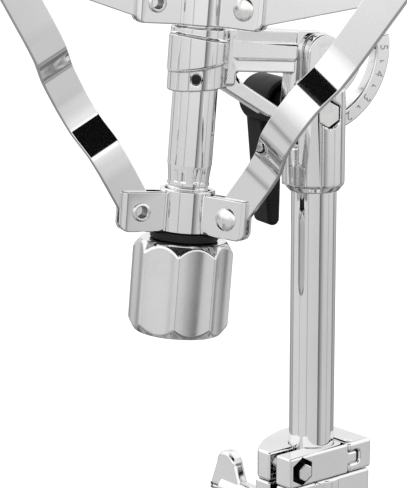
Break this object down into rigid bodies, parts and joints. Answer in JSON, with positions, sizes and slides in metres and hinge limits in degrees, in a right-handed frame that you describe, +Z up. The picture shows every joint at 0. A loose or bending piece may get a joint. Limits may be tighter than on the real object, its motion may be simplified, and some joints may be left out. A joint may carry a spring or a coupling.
{
  "type": "snare drum stand",
  "caption": "Folding tripod stand with a height tube, a slotted tilter and a screw-clamped basket of padded arms that carries a snare drum.",
  "frame": {"origin": "where the tube axis meets the floor the feet stand on", "axes": "+Z up along the tubes, the basket post stands towards -X, the tilt bolt's head faces -Y and its lever +Y"},
  "size_m": [0.3954, 0.4518, 0.6983],
  "materials": {
    "chrome": "bright chrome plate on bent steel",
    "plated_casting": "chrome plate on die castings, slightly softer",
    "bright_steel": "plated fasteners",
    "rubber": "matt black rubber",
    "black_plastic": "black moulded plastic, low sheen"
  },
  "bodies": {
    "base": {"base_tube": "chrome", "leg_spider": "plated_casting", "spider_rivets": "bright_steel", "height_clamp": "plated_casting", "height_bolt": "bright_steel"},
    "leg_collar": {"leg_collar": "plated_casting"},
    "leg_screw": {"leg_wing_screw": "plated_casting"},
    "height_nut": {"height_wing_nut": "plated_casting"},
    "upper": {"upper_tube": "chrome", "memory_lock_rear": "plated_casting", "memory_lock_front": "plated_casting", "memory_hinge_pin": "bright_steel", "memory_bolt": "bright_steel", "tilter_yoke": "plated_casting", "tilter_pivot_pin": "bright_steel", "tilt_bolt": "bright_steel"},
    "lever": {"tilt_lever": "black_plastic"},
    "basket": {"basket_arm": "plated_casting", "collar_set_screw": "bright_steel", "basket_post": "chrome", "upper_hub": "chrome", "upper_hub_rivets": "bright_steel"},
    "lower_hub": {"lower_hub": "chrome", "lower_hub_rivets": "bright_steel", "knob_washer": "rubber"},
    "knob": {"knob": "plated_casting"},
    "brace_1": {"brace_1": "chrome"},
    "leg_1": {"leg_1": "chrome", "leg_rivets_1": "bright_steel", "foot_1": "rubber"},
    "strut_1": {"strut_1": "chrome", "arm_rivet_1": "bright_steel"},
    "arm_1": {"arm_1": "chrome", "grip_1": "rubber"},
    "brace_2": {"brace_2": "chrome"},
    "leg_2": {"leg_2": "chrome", "leg_rivets_2": "bright_steel", "foot_2": "rubber"},
    "strut_2": {"strut_2": "chrome", "arm_rivet_2": "bright_steel"},
    "arm_2": {"arm_2": "chrome", "grip_2": "rubber"},
    "brace_3": {"brace_3": "chrome"},
    "leg_3": {"leg_3": "chrome", "leg_rivets_3": "bright_steel", "foot_3": "rubber"},
    "strut_3": {"strut_3": "chrome", "arm_rivet_3": "bright_steel"},
    "arm_3": {"arm_3": "chrome", "grip_3": "rubber"}
  },
  "joints": [
    {"name": "leg_fold", "type": "slide", "parent": "base", "child": "leg_collar", "axis": [0, 0, 1], "range_m": [0, 0.05222]},
    {"name": "brace_1_swing", "type": "hinge", "parent": "base", "child": "brace_1", "pos_m": [-0.03, 0, 0.04599], "axis": [0, -1, 0], "range_deg": [-20.5, 0.5]},
    {"name": "leg_1_swing", "type": "hinge", "parent": "brace_1", "child": "leg_1", "pos_m": [-0.11495, 0, 0.10771], "axis": [0, -1, 0], "range_deg": [-0.5, 40.5]},
    {"name": "brace_2_swing", "type": "hinge", "parent": "base", "child": "brace_2", "pos_m": [0.015, -0.02598, 0.04599], "axis": [0.866, 0.5, 0], "range_deg": [-20.5, 0.5]},
    {"name": "leg_2_swing", "type": "hinge", "parent": "brace_2", "child": "leg_2", "pos_m": [0.05747, -0.09955, 0.10771], "axis": [0.866, 0.5, 0], "range_deg": [-0.5, 40.5]},
    {"name": "brace_3_swing", "type": "hinge", "parent": "base", "child": "brace_3", "pos_m": [0.015, 0.02598, 0.04599], "axis": [-0.866, 0.5, 0], "range_deg": [-20.5, 0.5]},
    {"name": "leg_3_swing", "type": "hinge", "parent": "brace_3", "child": "leg_3", "pos_m": [0.05747, 0.09955, 0.10771], "axis": [-0.866, 0.5, 0], "range_deg": [-0.5, 40.5]},
    {"name": "leg_screw_turn", "type": "hinge", "parent": "leg_collar", "child": "leg_screw", "pos_m": [0.026, 0, 0.16943], "axis": [1, 0, 0], "continuous": true},
    {"name": "height", "type": "slide", "parent": "base", "child": "upper", "axis": [0, 0, 1], "range_m": [0, 0.1]},
    {"name": "height_nut_turn", "type": "hinge", "parent": "base", "child": "height_nut", "pos_m": [-0.02488, 0.00735, 0.271], "axis": [-0.1925, 0.9813, 0], "continuous": true},
    {"name": "tilt", "type": "hinge", "parent": "upper", "child": "basket", "pos_m": [0, 0, 0.53], "axis": [0, 1, 0], "range_deg": [-11, 80]},
    {"name": "lever_turn", "type": "hinge", "parent": "upper", "child": "lever", "pos_m": [0, 0, 0.4966], "axis": [0, 1, 0], "range_deg": [-100, 0]},
    {"name": "hub_slide", "type": "slide", "parent": "basket", "child": "lower_hub", "axis": [0.0872, 0, 0.9962], "range_m": [-0.0048, 0.0232]},
    {"name": "knob_turn", "type": "hinge", "parent": "lower_hub", "child": "knob", "pos_m": [-0.08699, 0, 0.38242], "axis": [0.0872, 0, 0.9962], "range_deg": [-581, 2789]},
    {"name": "strut_1_swing", "type": "hinge", "parent": "basket", "child": "strut_1", "pos_m": [-0.09986, 0.00149, 0.56193], "axis": [-0.0521, -0.9986, 0.0046], "range_deg": [-21.47, 4.84]},
    {"name": "arm_1_swing", "type": "hinge", "parent": "strut_1", "child": "arm_1", "pos_m": [-0.18794, 0.00624, 0.59454], "axis": [-0.0521, -0.9986, 0.0046], "range_deg": [-3.66, 15.78]},
    {"name": "strut_2_swing", "type": "hinge", "parent": "basket", "child": "strut_2", "pos_m": [-0.05862, -0.02539, 0.55832], "axis": [0.8876, 0.454, -0.0777], "range_deg": [-21.47, 4.84]},
    {"name": "arm_2_swing", "type": "hinge", "parent": "strut_2", "child": "arm_2", "pos_m": [-0.01543, -0.10622, 0.57945], "axis": [0.8876, 0.454, -0.0777], "range_deg": [-3.66, 15.78]},
    {"name": "strut_3_swing", "type": "hinge", "parent": "basket", "child": "strut_3", "pos_m": [-0.05604, 0.0239, 0.55809], "axis": [-0.8355, 0.5446, 0.0731], "range_deg": [-21.47, 4.84]},
    {"name": "arm_3_swing", "type": "hinge", "parent": "strut_3", "child": "arm_3", "pos_m": [-0.00466, 0.09998, 0.57851], "axis": [-0.8355, 0.5446, 0.0731], "range_deg": [-3.66, 15.78]}
  ],
  "couplings": [
    {"joint": "brace_1_swing", "follows": "leg_fold", "rad_per_m": -6.6845},
    {"joint": "leg_1_swing", "follows": "leg_fold", "rad_per_m": 13.369},
    {"joint": "brace_2_swing", "follows": "leg_fold", "rad_per_m": -6.6845},
    {"joint": "leg_2_swing", "follows": "leg_fold", "rad_per_m": 13.369},
    {"joint": "brace_3_swing", "follows": "leg_fold", "rad_per_m": -6.6845},
    {"joint": "leg_3_swing", "follows": "leg_fold", "rad_per_m": 13.369},
    {"joint": "knob_turn", "follows": "hub_slide", "rad_per_m": 2094.4},
    {"joint": "strut_1_swing", "follows": "hub_slide", "rad_per_m": -15.775},
    {"joint": "arm_1_swing", "follows": "hub_slide", "rad_per_m": 11.493},
    {"joint": "strut_2_swing", "follows": "hub_slide", "rad_per_m": -15.775},
    {"joint": "arm_2_swing", "follows": "hub_slide", "rad_per_m": 11.493},
    {"joint": "strut_3_swing", "follows": "hub_slide", "rad_per_m": -15.775},
    {"joint": "arm_3_swing", "follows": "hub_slide", "rad_per_m": 11.493}
  ]
}
